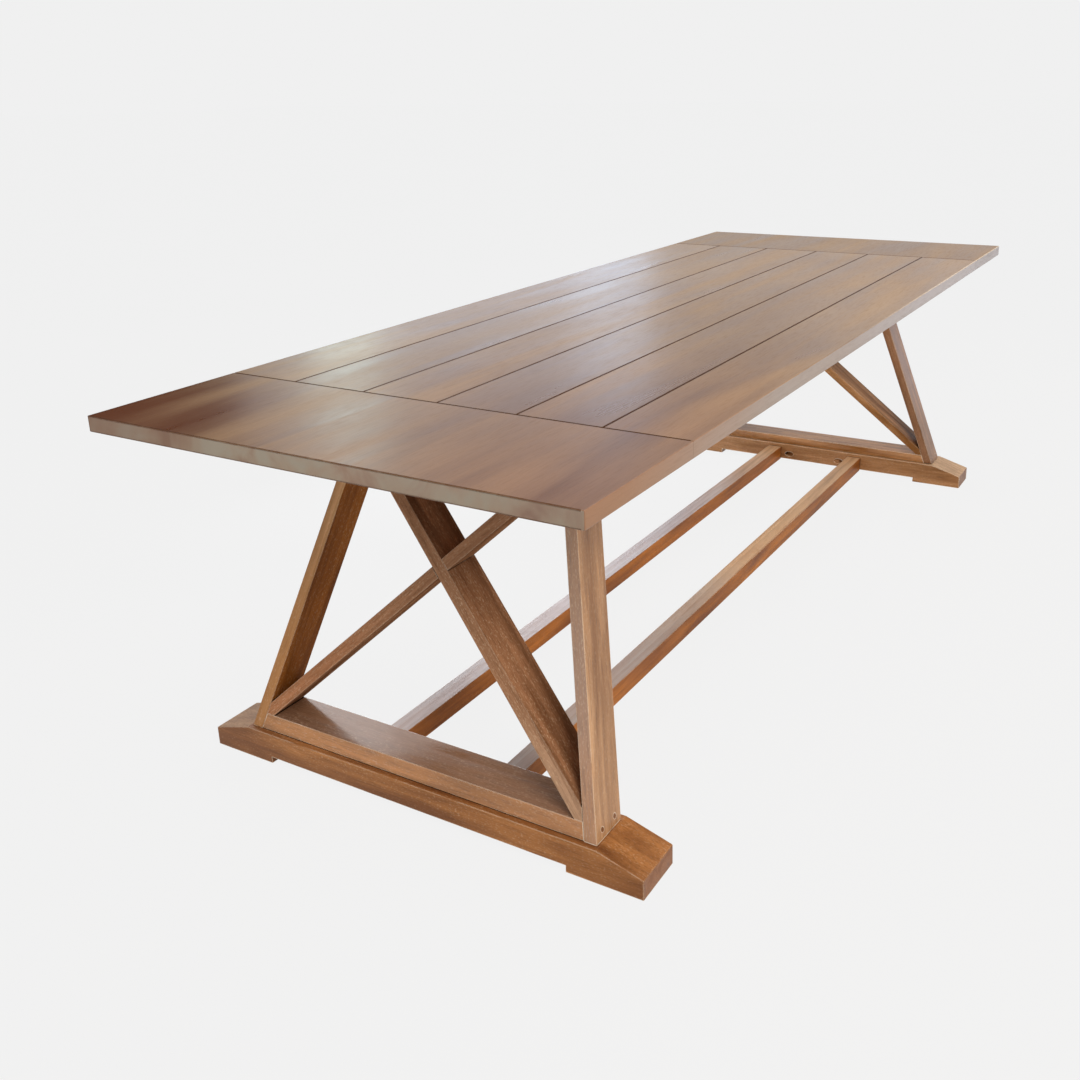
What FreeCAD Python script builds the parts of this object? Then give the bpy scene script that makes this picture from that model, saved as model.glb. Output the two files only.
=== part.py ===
import FreeCAD, Part
import math
import os

from FreeCAD import Vector

# A trestle dining table: a plank top with breadboard ends on two trestles that lean
# inwards, joined low down by two stretchers.
# X runs along the table, Y across it, Z up. The origin is on the floor under the middle.
# Lengths are in millimetres and angles in degrees.

# Whole table
TABLE_LENGTH = 2700.0
TABLE_WIDTH = 1020.0
TABLE_HEIGHT = 762.0

# Plank top
TOP_THICKNESS = 30.0
BREADBOARD_WIDTH = 340.0
PLANK_COUNT = 6
OUTER_PLANK_WIDTH = 166.0
SEAM_GAP = 1.5
SEAM_CHAMFER = 1.2
END_SEAM_GAP = 0.4
END_SEAM_CHAMFER = 1.8
TOP_ARRIS = 1.8
SPLINE_WIDTH = 28.0
SPLINE_THICKNESS = 8.0
SPLINE_STOP = 40.0
TONGUE_LENGTH = 30.0
TONGUE_THICKNESS = 10.0
TONGUE_STOP = 20.0
PEG_DIAMETER = 9.0
PEG_COVER = 6.0

# Feet
END_OVERHANG = 228.0
FOOT_DEPTH = 110.0
FOOT_HEIGHT = 66.0
FOOT_INSET = 7.5
FOOT_SHOULDER = 4.0
FOOT_TOE = 92.0
FOOT_END_HEIGHT = 39.0
FOOT_NOSE_RADIUS = 3.0
PAD_LENGTH = 153.0
PAD_HEIGHT = 14.0

# Leaning frames
FRAME_LEAN = 19.2
FRAME_DEPTH = 86.0
LEG_SPLAY = 160.5
LEG_THICKNESS = 26.0
RAIL_HEIGHT = 30.0
BRACE_THICKNESS = 25.0
BOARD_ARRIS = 1.5

# Bearers and middle batten under the top
BEARER_HEIGHT = 43.0
BEARER_DEPTH = 150.0
BEARER_INSET = 70.0
BEARER_SHOULDER = 22.0
BEARER_END_HEIGHT = 24.0
BATTEN_HEIGHT = 30.0
BATTEN_DEPTH = 80.0
BATTEN_TAPER = 50.0

# Stretchers
STRETCHER_SPACING = 288.0
STRETCHER_WIDTH = 45.0
STRETCHER_HEIGHT = 45.0
STRETCHER_FLOOR_GAP = 10.0
TENON_LENGTH = 50.0
TENON_CHEEK = 7.0
TENON_SHOULDER = 10.0

# Pocket screws that lock the stretchers' tenons
POCKET_DIAMETER = 18.0
POCKET_DEPTH = 26.0
POCKET_SLANT = 35.0
POCKET_SIDESTEP = 32.0
POCKET_SCREW_LENGTH = 52.0

# Screws, washers, plugs and dowels
SCREW_DIAMETER = 5.0
SCREW_HEAD_DIAMETER = 8.5
SCREW_HEAD_HEIGHT = 4.0
SCREW_COVER = 6.0
WASHER_DIAMETER = 18.0
WASHER_THICKNESS = 2.0
PLUG_DIAMETER = 9.5
PLUG_LENGTH = 7.0
LEG_SCREW_REACH = 45.0
FOOT_SCREW_DIAMETER = 7.0
FOOT_SCREW_SEAT = 14.0
FOOT_SCREW_MIDDLE = 45.0
FOOT_SCREW_INSET = 80.0
RAIL_SCREW_INSET = 88.0
TOP_SCREW_SEAT = 18.0
TOP_SCREW_SLOT = 14.0
TOP_SCREW_POCKET = 26.0
DOWEL_DIAMETER = 8.0
DOWEL_IN_LEG = 14.0
DOWEL_IN_BRACE = 18.0

# Clearances: radial round a rod, and each way round a tongue, spline, tenon or lap
ROD_CLEARANCE = 0.15
JOINT_CLEARANCE = 0.2

# Places worked out from the driving dimensions
TOP_UNDERSIDE = TABLE_HEIGHT - TOP_THICKNESS
TOP_MIDDLE = TABLE_HEIGHT - TOP_THICKNESS / 2
BREADBOARD_SEAM = TABLE_LENGTH / 2 - BREADBOARD_WIDTH
INNER_PLANK_PITCH = (TABLE_WIDTH - 2 * OUTER_PLANK_WIDTH) / (PLANK_COUNT - 2)
PLANK_SEAMS = [
    OUTER_PLANK_WIDTH - TABLE_WIDTH / 2 + i * INNER_PLANK_PITCH for i in range(PLANK_COUNT - 1)
]
FRAME_TOP = TOP_UNDERSIDE - BEARER_HEIGHT
RAIL_TOP = FOOT_HEIGHT + RAIL_HEIGHT
TOP_RAIL_UNDERSIDE = FRAME_TOP - RAIL_HEIGHT
FOOT_OUT = TABLE_LENGTH / 2 - END_OVERHANG
LEG_SPREAD_LOW = TABLE_WIDTH - 2 * (FOOT_INSET + FOOT_TOE + FOOT_SHOULDER)
LEG_SPREAD_HIGH = LEG_SPREAD_LOW - 2 * LEG_SPLAY
FOOT_INNER_FACE = FOOT_OUT - FOOT_DEPTH / 2
BEARER_HALF_LENGTH = TABLE_WIDTH / 2 - BEARER_INSET
STRETCHER_MIDDLE = STRETCHER_FLOOR_GAP + STRETCHER_HEIGHT / 2
SCREW_SIDESTEP = FRAME_DEPTH / 4

LEFT, RIGHT = -1, 1
FRONT, BACK = -1, 1
TRESTLES = {"left": LEFT, "right": RIGHT}


def box(x, y, z):
    """Box between two values along each axis, given in either order."""
    low = Vector(min(x), min(y), min(z))
    return Part.makeBox(max(x) - low.x, max(y) - low.y, max(z) - low.z, low)


def rod(start, end, diameter):
    """Round bar from one point to another."""
    axis = end.sub(start)
    return Part.makeCylinder(diameter / 2, axis.Length, start, axis)


def hole(start, end, diameter):
    """Hole that clears a rod of this diameter all round."""
    return rod(start, end, diameter + 2 * ROD_CLEARANCE)


def along(start, end, distance):
    """Point on the way from start towards end."""
    direction = end.sub(start)
    return start + direction * (distance / direction.Length)


def screw(seat, tip, diameter):
    """Pan-head screw: the head stands behind the seat and the shank runs from it to the tip."""
    head = rod(along(seat, tip, -SCREW_HEAD_HEIGHT), seat, SCREW_HEAD_DIAMETER)
    return head.fuse(rod(seat, tip, diameter)).removeSplitter()


def soften(shape, radius, picks):
    """Round the arrises that picks chooses."""
    return shape.makeFillet(radius, [edge for edge in shape.Edges if picks(edge)])


def runs_along_board(edge):
    """True for the long arrises of a leg, rail, brace or stretcher."""
    return edge.Length > 2 * FRAME_DEPTH


def prism(points, sweep):
    """Solid swept from a flat outline."""
    return Part.Face(Part.makePolygon(points + points[:1])).extrude(sweep)


def cross_prism(side, out, outline, depth):
    """Crosswise board: an outline in (y, z) swept along X, centred this far out from the middle."""
    points = [Vector(side * out - depth / 2, y, z) for y, z in outline]
    return prism(points, Vector(depth, 0, 0))


def frame_out(z):
    """How far the middle of a leaning frame stands from the middle of the table at a height."""
    return FOOT_OUT - (z - FOOT_HEIGHT) * math.tan(math.radians(FRAME_LEAN))


def leaning_prism(side, outline, outer=FRAME_DEPTH / 2, depth=FRAME_DEPTH):
    """Frame board: an outline in (y, z) on a plane that leans with the frame, swept level inwards."""
    points = [Vector(side * (frame_out(z) + outer), y, z) for y, z in outline]
    return prism(points, Vector(-side * depth, 0, 0))


def leg_outside(z):
    """Distance from the middle of the trestle to a leg's outer face at a height."""
    share = (z - FOOT_HEIGHT) / (FRAME_TOP - FOOT_HEIGHT)
    return (LEG_SPREAD_LOW + (LEG_SPREAD_HIGH - LEG_SPREAD_LOW) * share) / 2


def leg_inside(z):
    """Distance from the middle of the trestle to a leg's inner face at a height."""
    return leg_outside(z) - LEG_THICKNESS


def mirrored_ends(half):
    """Whole (y, z) outline from its half on the back side, listed from the middle outwards and back."""
    return half + [(-y, z) for y, z in reversed(half)]


def screw_spots(side, z):
    """Two spots across the depth of a frame at a height, on the table's middle plane."""
    return [Vector(side * (frame_out(z) + step), 0, z) for step in (-SCREW_SIDESTEP, SCREW_SIDESTEP)]


# Fasteners: each function lists the rods of one kind, as the pieces and their holes share them


def top_screw_lines(side, out):
    """Seat and tip of the screws from a bearer or the batten into the middle of each plank."""
    ends = [-BEARER_HALF_LENGTH] + PLANK_SEAMS + [BEARER_HALF_LENGTH]
    seat = TOP_UNDERSIDE - TOP_SCREW_SEAT
    tip = TABLE_HEIGHT - SCREW_COVER
    middles = [(ends[i] + ends[i + 1]) / 2 for i in range(PLANK_COUNT)]
    return [(Vector(side * out, y, seat), Vector(side * out, y, tip)) for y in middles]


def bearer_screw_lines(side):
    """Top screws of one bearer, on its strip that the frame leaves free on the inner side."""
    return top_screw_lines(side, frame_out(FRAME_TOP) - (FRAME_DEPTH + BEARER_DEPTH) / 4)


def batten_screw_lines():
    """Top screws of the middle batten."""
    return top_screw_lines(RIGHT, 0)


def peg_lines(side):
    """Foot and tip of the pegs through the planks' tongues."""
    edges = [-TABLE_WIDTH / 2] + PLANK_SEAMS + [TABLE_WIDTH / 2]
    x = side * (BREADBOARD_SEAM + TONGUE_LENGTH / 2)
    middles = [(edges[i] + edges[i + 1]) / 2 for i in range(PLANK_COUNT)]
    return [(Vector(x, y, TOP_UNDERSIDE), Vector(x, y, TABLE_HEIGHT - PEG_COVER)) for y in middles]


def leg_screw_lines(side, end):
    """Seat and tip of the screws through one leg into the ends of both rails."""
    lines = []
    for z in (FOOT_HEIGHT + RAIL_HEIGHT / 2, FRAME_TOP - RAIL_HEIGHT / 2):
        seat_y = leg_outside(z) - PLUG_LENGTH - SCREW_HEAD_HEIGHT
        tip_y = leg_inside(z) - LEG_SCREW_REACH
        for spot in screw_spots(side, z):
            lines.append((spot + Vector(0, end * seat_y, 0), spot + Vector(0, end * tip_y, 0)))
    return lines


def leg_counterbore(seat, end):
    """Hole for a screw's head and its plug, from the seat out past the leg's face."""
    mouth = seat + Vector(0, end * (PLUG_LENGTH + SCREW_HEAD_HEIGHT + LEG_THICKNESS), 0)
    return rod(seat, mouth, PLUG_DIAMETER)


def leg_plug(side, seat, end):
    """Plug over a screw's head, planed flush with the leg's sloping face."""
    bottom = seat + Vector(0, end * SCREW_HEAD_HEIGHT, 0)
    mouth = bottom + Vector(0, end * LEG_THICKNESS, 0)
    return rod(bottom, mouth, PLUG_DIAMETER - 2 * ROD_CLEARANCE).common(leg_board(side, end))


def foot_screw_lines(side):
    """Seat and tip of the screws that go up through a foot into the bottom rail."""
    outer = leg_inside(FOOT_HEIGHT) - FOOT_SCREW_INSET
    seat_z = PAD_HEIGHT + FOOT_SCREW_SEAT
    tip_z = RAIL_TOP - SCREW_COVER
    x = side * FOOT_OUT
    middles = (-outer, -FOOT_SCREW_MIDDLE, FOOT_SCREW_MIDDLE, outer)
    return [(Vector(x, y, seat_z), Vector(x, y, tip_z)) for y in middles]


def rail_screw_lines(side):
    """Seat and tip of the screws that go up through a top rail into the bearer."""
    y = leg_inside(FRAME_TOP) - RAIL_SCREW_INSET
    x = side * frame_out(FRAME_TOP)
    seat_z = TOP_RAIL_UNDERSIDE + SCREW_HEAD_HEIGHT
    tip_z = TOP_UNDERSIDE - TOP_SCREW_SEAT
    return [(Vector(x, end * y, seat_z), Vector(x, end * y, tip_z)) for end in (FRONT, BACK)]


def pocket_line(side, end):
    """Seat and tip of the slanted screw beside one stretcher."""
    slant = math.radians(POCKET_SLANT)
    mouth_y = STRETCHER_SPACING / 2 - STRETCHER_WIDTH / 2 - POCKET_SIDESTEP
    mouth = Vector(side * FOOT_INNER_FACE, end * mouth_y, STRETCHER_MIDDLE)
    direction = Vector(side * math.sin(slant), end * math.cos(slant), 0)
    seat = mouth + direction * POCKET_DEPTH
    return seat, seat + direction * POCKET_SCREW_LENGTH


def brace_contact(low_end, high):
    """Heights between which a brace's end bears on a leg."""
    corner = TOP_RAIL_UNDERSIDE if high else RAIL_TOP
    upper, lower = brace_edges(low_end)
    edge = lower if high else upper
    return corner, crossing_with_leg(edge, -low_end if high else low_end)


def dowel_lines(side, low_end):
    """Ends of the dowels that hold one brace to the two legs."""
    lines = []
    for high, end in ((False, low_end), (True, -low_end)):
        z = sum(brace_contact(low_end, high)) / 2
        for spot in screw_spots(side, z):
            in_leg = spot + Vector(0, end * (leg_inside(z) + DOWEL_IN_LEG), 0)
            in_brace = spot + Vector(0, end * (leg_inside(z) - DOWEL_IN_BRACE), 0)
            lines.append((in_leg, in_brace))
    return lines


# Outlines of the braces, in (y, z)


def brace_line(low_end):
    """Middle line of a brace, from a bottom corner of the frame to the opposite top corner."""
    low = Vector(0, low_end * leg_inside(RAIL_TOP), RAIL_TOP)
    high = Vector(0, -low_end * leg_inside(TOP_RAIL_UNDERSIDE), TOP_RAIL_UNDERSIDE)
    return low, high


def brace_edges(low_end):
    """Upper and lower edge lines of a brace."""
    low, high = brace_line(low_end)
    run = high.sub(low).normalize()
    lift = Vector(0, -run.z, run.y) * (BRACE_THICKNESS / 2)
    if lift.z < 0:
        lift = lift * -1
    return (low + lift, high + lift), (low - lift, high - lift)


def crossing_with_leg(edge, end):
    """Height at which an edge line of a brace meets the inner face of a leg."""
    start, finish = edge
    slope = (finish.y - start.y) / (finish.z - start.z)
    leg_slope = end * (leg_inside(FRAME_TOP) - leg_inside(FOOT_HEIGHT)) / (FRAME_TOP - FOOT_HEIGHT)
    leg_start = end * leg_inside(FOOT_HEIGHT)
    offset = leg_start - leg_slope * FOOT_HEIGHT - start.y + slope * start.z
    return offset / (slope - leg_slope)


def brace_band(low_end, spare=0.0):
    """Outline of a brace before its ends are cut, with spare thickness on both edges."""
    low, high = brace_line(low_end)
    run = high.sub(low).normalize()
    lift = Vector(0, -run.z, run.y) * (BRACE_THICKNESS / 2 + spare)
    start = low - run * FRAME_DEPTH
    finish = high + run * FRAME_DEPTH
    corners = (start + lift, finish + lift, finish - lift, start - lift)
    return [(corner.y, corner.z) for corner in corners]


# Pieces of the top


def seam_wedge_along(y, z):
    """Cutter for the chamfers of a seam that runs along the table."""
    half = SEAM_GAP / 2 + SEAM_CHAMFER
    points = [Vector(-TABLE_LENGTH, y - half, z), Vector(-TABLE_LENGTH, y + half, z),
              Vector(-TABLE_LENGTH, y, z - half)]
    return prism(points, Vector(2 * TABLE_LENGTH, 0, 0))


def seam_wedge_across(x, z):
    """Cutter for the chamfers of a seam that runs across the table."""
    half = END_SEAM_GAP / 2 + END_SEAM_CHAMFER
    points = [Vector(x - half, -TABLE_WIDTH, z), Vector(x + half, -TABLE_WIDTH, z),
              Vector(x, -TABLE_WIDTH, z - half)]
    return prism(points, Vector(0, 2 * TABLE_WIDTH, 0))


def is_outer_arris(edge):
    """True for the arrises round the rim of the top, above and below."""
    middle = edge.CenterOfMass
    on_side = abs(abs(middle.y) - TABLE_WIDTH / 2) < JOINT_CLEARANCE
    on_end = abs(abs(middle.x) - TABLE_LENGTH / 2) < JOINT_CLEARANCE
    is_level = edge.BoundBox.ZLength < JOINT_CLEARANCE
    return is_level and (on_side or on_end) or on_side and on_end


def tongue_slab(half_length, half_width, thickness):
    """Slab at the middle of the top's thickness."""
    return box((-half_length, half_length), (-half_width, half_width),
               (TOP_MIDDLE - thickness / 2, TOP_MIDDLE + thickness / 2))


def top_holes():
    """Holes from below in the top, for the screws of the bearers and the batten."""
    lines = bearer_screw_lines(LEFT) + bearer_screw_lines(RIGHT) + batten_screw_lines()
    return [hole(Vector(seat.x, seat.y, TOP_UNDERSIDE), tip, SCREW_DIAMETER) for seat, tip in lines]


def peg_holes():
    """Blind holes from below for the pegs at both ends."""
    return [hole(foot, tip, PEG_DIAMETER) for side in (LEFT, RIGHT) for foot, tip in peg_lines(side)]


def plank(index):
    """One plank, with a tongue at each end and grooves for the splines along its seams."""
    edges = [-TABLE_WIDTH / 2 - SEAM_GAP / 2] + PLANK_SEAMS + [TABLE_WIDTH / 2 + SEAM_GAP / 2]
    y = (edges[index] + SEAM_GAP / 2, edges[index + 1] - SEAM_GAP / 2)
    shoulder = BREADBOARD_SEAM - END_SEAM_GAP / 2
    board = box((-shoulder, shoulder), y, (TOP_UNDERSIDE, TABLE_HEIGHT))
    if index in (0, PLANK_COUNT - 1):
        board = soften(board, TOP_ARRIS, is_outer_arris)
    seams = [seam_wedge_along(seam, TABLE_HEIGHT) for seam in PLANK_SEAMS]
    seams += [seam_wedge_across(side * BREADBOARD_SEAM, TABLE_HEIGHT) for side in (LEFT, RIGHT)]
    tongue = tongue_slab(BREADBOARD_SEAM + TONGUE_LENGTH, TABLE_WIDTH / 2 - TONGUE_STOP, TONGUE_THICKNESS)
    strip = box((-TABLE_LENGTH, TABLE_LENGTH), y, (TOP_UNDERSIDE, TABLE_HEIGHT))
    grooves = [spline_bar(seam, JOINT_CLEARANCE) for seam in PLANK_SEAMS]
    body = board.cut(seams).fuse(tongue.common(strip)).removeSplitter()
    return body.cut(grooves + top_holes() + peg_holes())


def spline_bar(seam, spare=0.0):
    """Loose spline in the seam between two planks, with spare room on every side for its groove."""
    half_length = BREADBOARD_SEAM - SPLINE_STOP + spare
    return box((-half_length, half_length),
               (seam - SPLINE_WIDTH / 2 - spare, seam + SPLINE_WIDTH / 2 + spare),
               (TOP_MIDDLE - SPLINE_THICKNESS / 2 - spare, TOP_MIDDLE + SPLINE_THICKNESS / 2 + spare))


def breadboard(side):
    """Breadboard end, grooved along its inner edge for the planks' tongues."""
    inner = side * (BREADBOARD_SEAM + END_SEAM_GAP / 2)
    board = box((inner, side * TABLE_LENGTH / 2), (-TABLE_WIDTH / 2, TABLE_WIDTH / 2),
                (TOP_UNDERSIDE, TABLE_HEIGHT))
    board = soften(board, TOP_ARRIS, is_outer_arris)
    groove = tongue_slab(BREADBOARD_SEAM + TONGUE_LENGTH + JOINT_CLEARANCE,
                         TABLE_WIDTH / 2 - TONGUE_STOP + JOINT_CLEARANCE,
                         TONGUE_THICKNESS + 2 * JOINT_CLEARANCE)
    seam = seam_wedge_across(side * BREADBOARD_SEAM, TABLE_HEIGHT)
    return board.cut([seam, groove] + peg_holes() + top_holes())


# Pieces of a trestle


def foot_outline():
    """Outline of a foot from the middle of its top round a toe to the middle of its underside."""
    flat = LEG_SPREAD_LOW / 2 + FOOT_SHOULDER
    end = flat + FOOT_TOE
    pad = end - PAD_LENGTH
    half = [(flat, FOOT_HEIGHT), (end, FOOT_END_HEIGHT), (end, 0), (pad, 0), (pad, PAD_HEIGHT)]
    return mirrored_ends(half)


def is_foot_nose(edge):
    """True for the arris between a toe's slope and its end."""
    middle = edge.CenterOfMass
    return edge.BoundBox.XLength > FOOT_DEPTH / 2 and abs(middle.z - FOOT_END_HEIGHT) < JOINT_CLEARANCE


def is_foot_arris(edge):
    """True for the arrises of a foot's two long faces, above its pads."""
    flat = edge.BoundBox.XLength < JOINT_CLEARANCE
    return flat and edge.CenterOfMass.z > PAD_HEIGHT + JOINT_CLEARANCE


def foot(side):
    """Foot with sloping toes and end pads, mortised for the stretchers and bored for its screws."""
    body = cross_prism(side, FOOT_OUT, foot_outline(), FOOT_DEPTH)
    body = soften(body, FOOT_NOSE_RADIUS, is_foot_nose)
    body = soften(body, BOARD_ARRIS, is_foot_arris)
    cuts = [tenon(side, end, JOINT_CLEARANCE) for end in (FRONT, BACK)]
    for seat, tip in foot_screw_lines(side):
        mouth = Vector(seat.x, seat.y, 0)
        cuts += [rod(mouth, seat, WASHER_DIAMETER + JOINT_CLEARANCE), hole(seat, tip, FOOT_SCREW_DIAMETER)]
    for end in (FRONT, BACK):
        seat, tip = pocket_line(side, end)
        mouth = along(seat, tip, -2 * POCKET_DEPTH)
        cuts += [rod(mouth, seat, POCKET_DIAMETER), hole(seat, tip, SCREW_DIAMETER)]
    return body.cut(cuts)


def leg_board(side, end):
    """Leg before it is bored."""
    outline = [
        (end * leg_outside(FOOT_HEIGHT), FOOT_HEIGHT),
        (end * leg_outside(FRAME_TOP), FRAME_TOP),
        (end * leg_inside(FRAME_TOP), FRAME_TOP),
        (end * leg_inside(FOOT_HEIGHT), FOOT_HEIGHT),
    ]
    return soften(leaning_prism(side, outline), BOARD_ARRIS, runs_along_board)


def leg(side, end):
    """Leg, bored for the rail screws and the braces' dowels."""
    cuts = []
    for seat, tip in leg_screw_lines(side, end):
        cuts += [hole(seat, tip, SCREW_DIAMETER), leg_counterbore(seat, end)]
    for low_end in (FRONT, BACK):
        cuts += [hole(start, stop, DOWEL_DIAMETER) for start, stop in dowel_lines(side, low_end)]
    return leg_board(side, end).cut(cuts)


def rail_board(side, low, high):
    """Rail between the legs' inner faces, from one height to another."""
    outline = [(leg_inside(low), low), (leg_inside(high), high), (-leg_inside(high), high),
               (-leg_inside(low), low)]
    return soften(leaning_prism(side, outline), BOARD_ARRIS, runs_along_board)


def rail_screw_holes(side):
    """Holes in a rail's ends for the screws through the legs."""
    return [hole(seat, tip, SCREW_DIAMETER)
            for end in (FRONT, BACK) for seat, tip in leg_screw_lines(side, end)]


def bottom_rail(side):
    """Bottom rail, lying on the foot."""
    holes = [hole(seat, tip, FOOT_SCREW_DIAMETER) for seat, tip in foot_screw_lines(side)]
    return rail_board(side, FOOT_HEIGHT, RAIL_TOP).cut(holes + rail_screw_holes(side))


def top_rail(side):
    """Top rail, under the bearer, with a recess for the head of each screw."""
    cuts = rail_screw_holes(side)
    for seat, tip in rail_screw_lines(side):
        mouth = along(seat, tip, -RAIL_HEIGHT)
        cuts += [hole(seat, tip, SCREW_DIAMETER), rod(mouth, seat, SCREW_HEAD_DIAMETER + JOINT_CLEARANCE)]
    return rail_board(side, TOP_RAIL_UNDERSIDE, FRAME_TOP).cut(cuts)


def brace(side, low_end):
    """Brace from the bottom at one end to the top at the other, half lapped where the two cross.

    The one that starts at the front is whole on the frame's outer face, the other on the inner face.
    """
    window = [(leg_inside(RAIL_TOP), RAIL_TOP), (leg_inside(TOP_RAIL_UNDERSIDE), TOP_RAIL_UNDERSIDE),
              (-leg_inside(TOP_RAIL_UNDERSIDE), TOP_RAIL_UNDERSIDE), (-leg_inside(RAIL_TOP), RAIL_TOP)]
    board = soften(leaning_prism(side, brace_band(low_end)), BOARD_ARRIS, runs_along_board)
    lap_start = 0.0 if low_end == FRONT else FRAME_DEPTH
    lap = leaning_prism(side, brace_band(-low_end, JOINT_CLEARANCE), lap_start, FRAME_DEPTH)
    dowels = [hole(start, stop, DOWEL_DIAMETER) for start, stop in dowel_lines(side, low_end)]
    return board.common(leaning_prism(side, window)).cut([lap] + dowels)


def bearer_outline(height, flat):
    """Outline of a board under the top with tapered ends, flat below as far as given from the middle."""
    half = [(BEARER_HALF_LENGTH, TOP_UNDERSIDE),
            (BEARER_HALF_LENGTH, TOP_UNDERSIDE - BEARER_END_HEIGHT),
            (flat, TOP_UNDERSIDE - height)]
    return mirrored_ends(half)


def slotted_holes(lines):
    """Slots across the planks, with a pocket from below for the washer and the screw's head."""
    cuts = []
    for seat, tip in lines:
        half_slot = Vector(0, TOP_SCREW_SLOT / 2 - SCREW_DIAMETER / 2, 0)
        ends = (seat - half_slot, seat + half_slot)
        rise = Vector(0, 0, TOP_SCREW_SEAT)
        half_width = SCREW_DIAMETER / 2 + ROD_CLEARANCE
        cuts += [hole(end, end + rise, SCREW_DIAMETER) for end in ends]
        cuts += [box((seat.x - half_width, seat.x + half_width), (ends[0].y, ends[1].y),
                     (seat.z, TOP_UNDERSIDE))]
        cuts += [rod(seat - Vector(0, 0, BEARER_HEIGHT), seat, TOP_SCREW_POCKET)]
    return cuts


def bearer(side):
    """Bearer across the planks on top of a trestle."""
    flat = LEG_SPREAD_HIGH / 2 + BEARER_SHOULDER
    body = cross_prism(side, frame_out(FRAME_TOP), bearer_outline(BEARER_HEIGHT, flat), BEARER_DEPTH)
    rail_holes = [hole(seat, tip, SCREW_DIAMETER) for seat, tip in rail_screw_lines(side)]
    return body.cut(slotted_holes(bearer_screw_lines(side)) + rail_holes)


def centre_batten():
    """Batten across the planks in the middle of the top."""
    outline = bearer_outline(BATTEN_HEIGHT, BEARER_HALF_LENGTH - BATTEN_TAPER)
    return cross_prism(RIGHT, 0, outline, BATTEN_DEPTH).cut(slotted_holes(batten_screw_lines()))


# Stretchers


def tenon(side, end, spare=0.0):
    """Tenon at one end of a stretcher, with spare room on every side for its mortise."""
    y = end * STRETCHER_SPACING / 2
    half_width = STRETCHER_WIDTH / 2 - TENON_CHEEK + spare
    half_height = STRETCHER_HEIGHT / 2 - TENON_SHOULDER + spare
    return box((side * FOOT_INNER_FACE, side * (FOOT_INNER_FACE + TENON_LENGTH + spare)),
               (y - half_width, y + half_width),
               (STRETCHER_MIDDLE - half_height, STRETCHER_MIDDLE + half_height))


def stretcher(end):
    """Stretcher between the two feet, tenoned into both."""
    y = end * STRETCHER_SPACING / 2
    bar = box((-FOOT_INNER_FACE, FOOT_INNER_FACE), (y - STRETCHER_WIDTH / 2, y + STRETCHER_WIDTH / 2),
              (STRETCHER_FLOOR_GAP, STRETCHER_FLOOR_GAP + STRETCHER_HEIGHT))
    bar = soften(bar, BOARD_ARRIS, runs_along_board)
    bar = bar.fuse([tenon(LEFT, end), tenon(RIGHT, end)]).removeSplitter()
    lines = [pocket_line(side, end) for side in (LEFT, RIGHT)]
    return bar.cut([hole(seat, tip, SCREW_DIAMETER) for seat, tip in lines])


# Groups of fasteners


def screws(lines, diameter):
    """Group of like screws."""
    return Part.makeCompound([screw(seat, tip, diameter) for seat, tip in lines])


def rods(lines, diameter):
    """Group of like dowels or pegs."""
    return Part.makeCompound([rod(start, stop, diameter) for start, stop in lines])


def washers(lines, diameter):
    """Group of washers under screw heads, each bored to clear its shank."""
    rings = []
    for seat, tip in lines:
        low = along(seat, tip, -WASHER_THICKNESS)
        rings.append(rod(low, seat, WASHER_DIAMETER).cut(hole(low, seat, diameter)))
    return Part.makeCompound(rings)


def lowered(lines):
    """The same screw lines with the head's seat one washer further back."""
    return [(along(seat, tip, -WASHER_THICKNESS), tip) for seat, tip in lines]


def leg_plugs(side):
    """Plugs of both legs of a trestle."""
    plugs = [leg_plug(side, seat, end)
             for end in (FRONT, BACK) for seat, tip in leg_screw_lines(side, end)]
    return Part.makeCompound(plugs)


def top_pieces():
    """Nodes of the plank top."""
    nodes = {}
    for index in range(PLANK_COUNT):
        nodes[f"top_plank_{index + 1}"] = plank(index)
    for index, seam in enumerate(PLANK_SEAMS):
        nodes[f"plank_spline_{index + 1}"] = spline_bar(seam)
    for name, side in TRESTLES.items():
        nodes[f"{name}_breadboard_end"] = breadboard(side)
        nodes[f"{name}_breadboard_pegs"] = rods(peg_lines(side), PEG_DIAMETER)
    nodes["centre_batten"] = centre_batten()
    nodes["batten_screws"] = screws(lowered(batten_screw_lines()), SCREW_DIAMETER)
    nodes["batten_washers"] = washers(batten_screw_lines(), SCREW_DIAMETER)
    return nodes


def trestle_pieces(name, side):
    """Nodes of one trestle."""
    leg_lines = leg_screw_lines(side, FRONT) + leg_screw_lines(side, BACK)
    dowels = dowel_lines(side, FRONT) + dowel_lines(side, BACK)
    pockets = [pocket_line(side, end) for end in (FRONT, BACK)]
    nodes = {
        "foot": foot(side),
        "bottom_rail": bottom_rail(side),
        "top_rail": top_rail(side),
        "front_leg": leg(side, FRONT),
        "back_leg": leg(side, BACK),
        "front_brace": brace(side, FRONT),
        "back_brace": brace(side, BACK),
        "bearer": bearer(side),
        "leg_screws": screws(leg_lines, SCREW_DIAMETER),
        "leg_plugs": leg_plugs(side),
        "brace_dowels": rods(dowels, DOWEL_DIAMETER),
        "foot_screws": screws(lowered(foot_screw_lines(side)), FOOT_SCREW_DIAMETER),
        "foot_washers": washers(foot_screw_lines(side), FOOT_SCREW_DIAMETER),
        "rail_screws": screws(rail_screw_lines(side), SCREW_DIAMETER),
        "bearer_screws": screws(lowered(bearer_screw_lines(side)), SCREW_DIAMETER),
        "bearer_washers": washers(bearer_screw_lines(side), SCREW_DIAMETER),
        "stretcher_screws": screws(pockets, SCREW_DIAMETER),
    }
    return {f"{name}_{part}": shape for part, shape in nodes.items()}


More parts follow.
